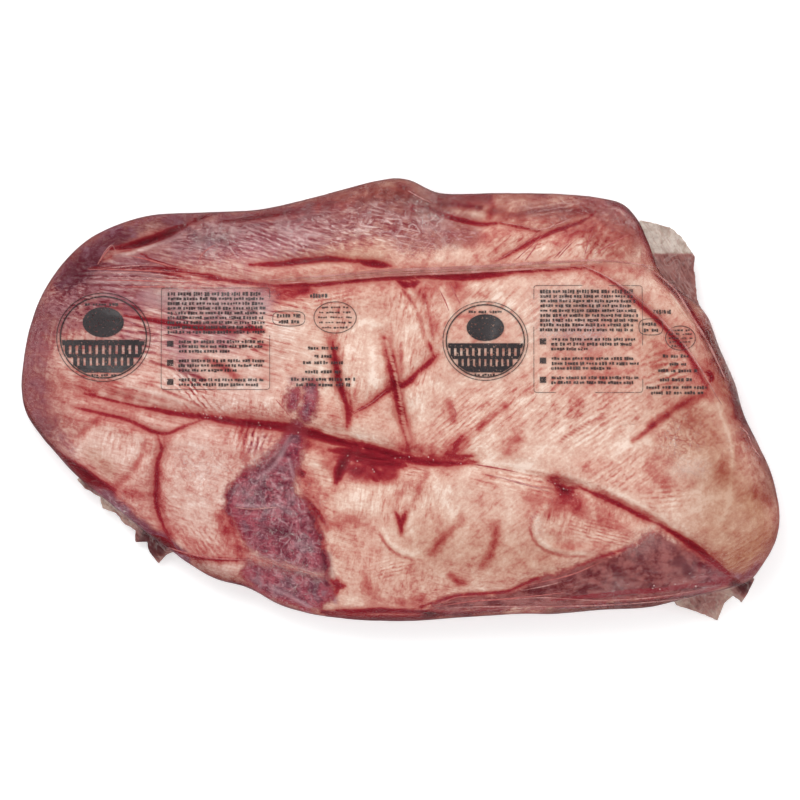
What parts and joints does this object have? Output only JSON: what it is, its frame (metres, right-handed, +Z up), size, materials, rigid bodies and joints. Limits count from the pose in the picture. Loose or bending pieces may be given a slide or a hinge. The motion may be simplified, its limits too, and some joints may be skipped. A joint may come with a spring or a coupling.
{
  "type": "raw beef brisket",
  "caption": "Whole raw beef brisket shrunk tight in a clear sealed bag, lying flat, with folded fat, bare muscle and spare film at its corners.",
  "frame": {"origin": "on the resting face, under the middle of the pack", "axes": "+X along the pack towards its thick end, +Y across it, +Z up out of the shown side"},
  "size_m": [0.5599, 0.3271, 0.0776],
  "materials": {
    "beef_fat": "moist",
    "bag_film": "gloss",
    "bag_print": "matt"
  },
  "bodies": {
    "root": {"bagged_brisket": "beef_fat"}
  },
  "joints": []
}
